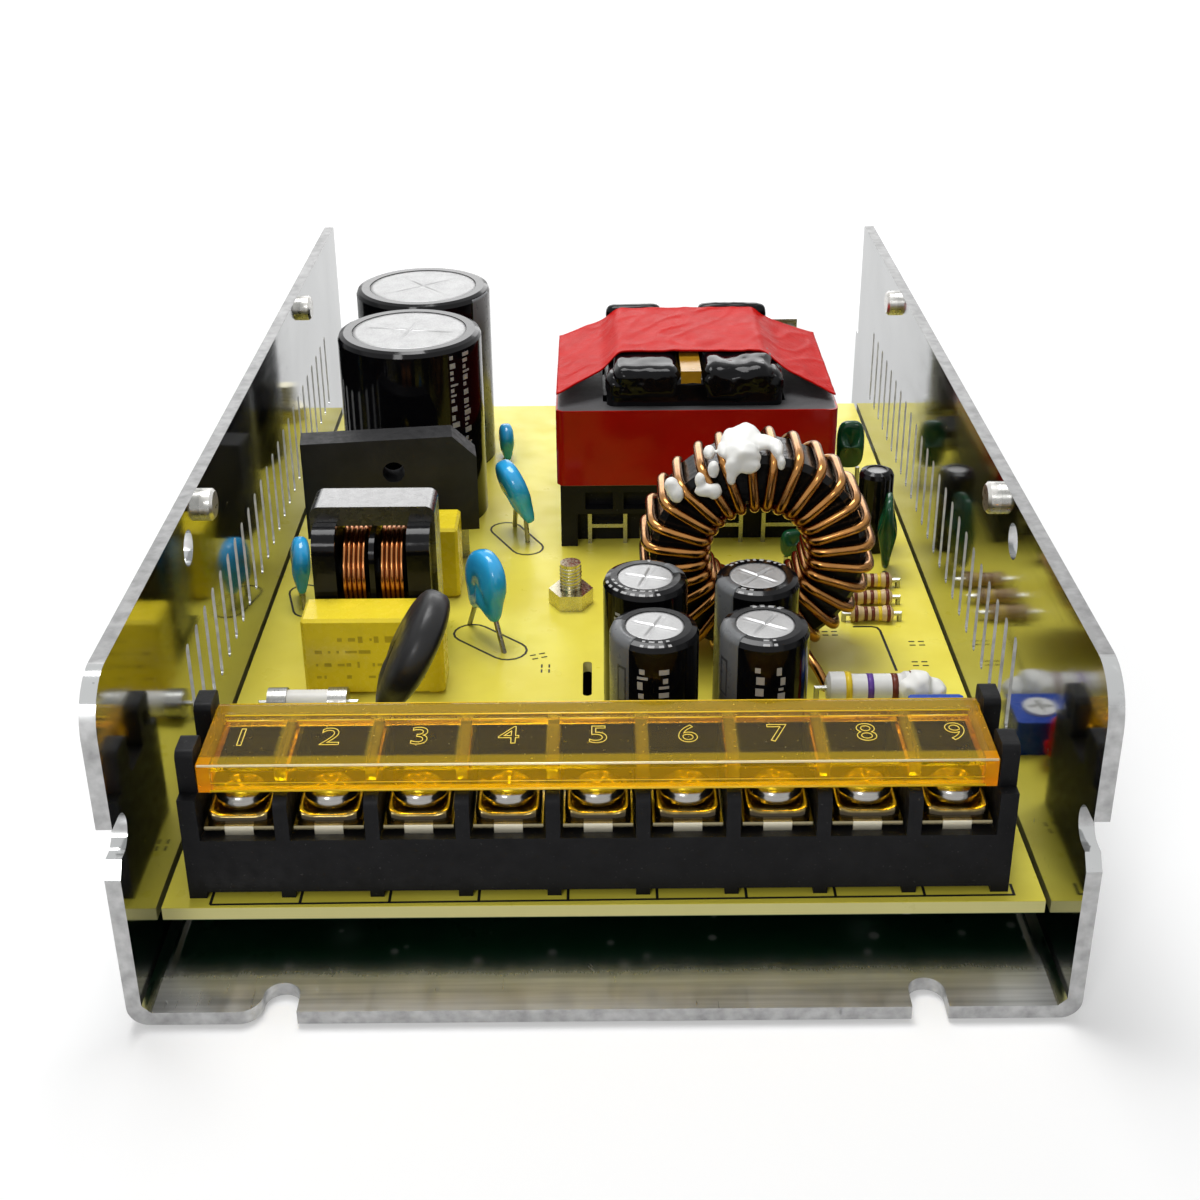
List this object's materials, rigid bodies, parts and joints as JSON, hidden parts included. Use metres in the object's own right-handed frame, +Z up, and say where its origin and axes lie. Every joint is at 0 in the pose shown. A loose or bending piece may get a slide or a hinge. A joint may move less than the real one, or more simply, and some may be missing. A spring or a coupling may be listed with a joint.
{
  "type": "switching power supply",
  "caption": "Open switching power supply: aluminium channel, yellow board with transformer, chokes and capacitors, screw terminal block with a hinged amber cover.",
  "frame": {"origin": "centre of the case's underside", "axes": "+X to the right seen from the terminals, +Y to the rear, +Z up"},
  "size_m": [0.098, 0.16, 0.04],
  "materials": {
    "bright_aluminium": "bright rolled sheet, mirror-like inside",
    "plated_steel": "bright plated",
    "yellow_board": "yellow laminate with green underside",
    "dull_brass": "dull plated",
    "black_moulding": "black moulded plastic",
    "nickel_plate": "bright plated strip",
    "clamp_brass": "plated brass",
    "dark_steel": "dark plated screw",
    "amber_plastic": "clear amber moulding",
    "can_aluminium": "bare can top",
    "black_sleeve": "black shrunk sleeve with a grey stripe",
    "black_core": "black coated core",
    "copper_wire": "lacquered copper wire",
    "white_glue": "white silicone glue",
    "grey_ferrite": "grey ferrite",
    "dark_red_tape": "red tape over ferrite",
    "light_red_tape": "red tape",
    "black_tape": "glossy black wrapped winding",
    "brown_strip": "brown insulating strip",
    "tinned_wire": "tinned",
    "yellow_box": "yellow box with grey print",
    "black_epoxy": "moulded epoxy",
    "blue_coating": "dipped coating",
    "black_coating": "dipped coating",
    "green_coating": "dipped coating",
    "tan_resistor": "lacquered body with bands",
    "pale_resistor": "lacquered body with bands",
    "blue_plastic": "moulded case",
    "white_plastic": "moulded rotor",
    "red_lens": "moulded lens",
    "ceramic_tube": "plain tube",
    "driver_tape": "yellow tape over the winding"
  },
  "bodies": {
    "supply": {"chassis": "bright_aluminium", "press_nuts": "plated_steel", "circuit_board": "yellow_board", "board_studs": "dull_brass", "board_nuts": "dull_brass", "terminal_body": "black_moulding", "terminal_plates": "nickel_plate", "terminal_clamps": "clamp_brass", "terminal_screws": "dark_steel", "output_cap_cans": "can_aluminium", "output_cap_sleeves": "black_sleeve", "bulk_cap_cans": "can_aluminium", "bulk_cap_sleeves": "black_sleeve", "toroid_core": "black_core", "toroid_winding": "copper_wire", "toroid_glue": "white_glue", "transformer_core": "grey_ferrite", "transformer_tape_band": "dark_red_tape", "transformer_tape_wrap": "light_red_tape", "transformer_bobbin": "black_moulding", "transformer_winding": "black_tape", "transformer_gap_strip": "brown_strip", "transformer_pins": "tinned_wire", "choke_core": "grey_ferrite", "choke_bobbin": "black_moulding", "choke_foot": "black_moulding", "choke_windings": "copper_wire", "front_film_capacitor": "yellow_box", "rear_film_capacitor": "yellow_box", "bridge_rectifier": "black_epoxy", "rectifier_leads": "tinned_wire", "disc_capacitors": "blue_coating", "disc_capacitor_leads": "tinned_wire", "thermistor_disc": "black_coating", "thermistor_leads": "tinned_wire", "green_capacitors": "green_coating", "green_capacitor_leads": "tinned_wire", "small_capacitor_can": "can_aluminium", "small_capacitor_sleeve": "black_sleeve", "small_resistors": "tan_resistor", "small_resistor_leads": "tinned_wire", "load_resistor": "pale_resistor", "load_resistor_leads": "tinned_wire", "trimmer_body": "blue_plastic", "indicator_lamp": "red_lens", "lamp_leads": "tinned_wire", "fuse_tube": "ceramic_tube", "fuse_caps": "tinned_wire", "heat_sink": "bright_aluminium", "package_tabs": "tinned_wire", "package_bodies": "black_epoxy", "package_leads": "tinned_wire", "driver_core": "grey_ferrite", "driver_winding": "driver_tape", "driver_foot_block": "black_moulding", "control_chip": "black_epoxy", "chip_pins": "tinned_wire"},
    "cover": {"terminal_cover": "amber_plastic"},
    "rotor": {"trimmer_rotor": "white_plastic"}
  },
  "joints": [
    {"name": "cover_hinge", "type": "hinge", "parent": "supply", "child": "cover", "pos_m": [-0.0005, -0.0558, 0.02195], "axis": [-1, 0, 0], "range_deg": [0, 105]},
    {"name": "trimmer_turn", "type": "hinge", "parent": "supply", "child": "rotor", "pos_m": [0.0413, -0.0388, 0.01115], "axis": [0, 0, 1], "range_deg": [-135, 135]}
  ]
}
